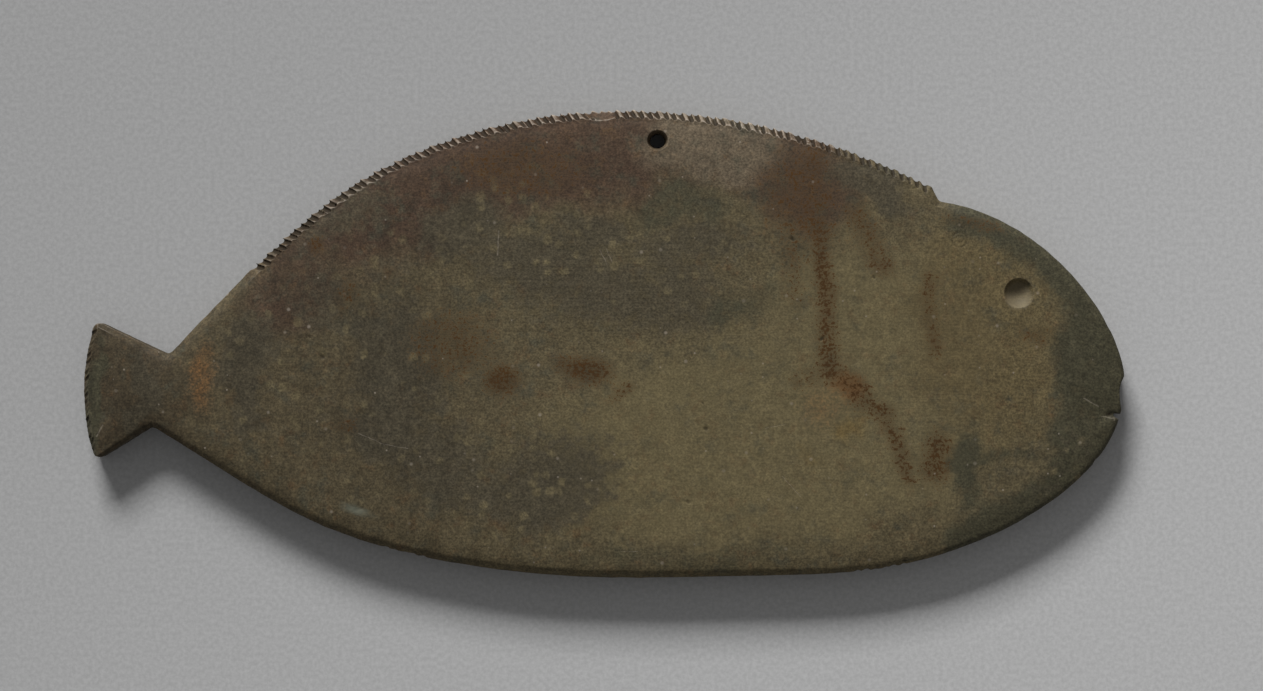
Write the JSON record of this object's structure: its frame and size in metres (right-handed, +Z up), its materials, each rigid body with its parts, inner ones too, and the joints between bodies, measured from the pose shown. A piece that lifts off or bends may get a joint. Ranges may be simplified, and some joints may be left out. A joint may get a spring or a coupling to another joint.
{
  "type": "cosmetic palette",
  "caption": "Flat stone slab in the outline of a fish, for grinding eye paint, with a notched back, an eye, a mouth slit, a fan tail and a drilled cord hole.",
  "frame": {"origin": "on the flat underside, at the middle of the outline's box", "axes": "+X along the fish from its tail to its snout, +Y across it towards the crest of the back, +Z up out of the worked face, the thinnest way"},
  "size_m": [0.22, 0.0991, 0.009],
  "materials": {
    "stone": "ground greywacke, dull, with a brown patina"
  },
  "bodies": {
    "root": {"palette": "stone"}
  },
  "joints": []
}
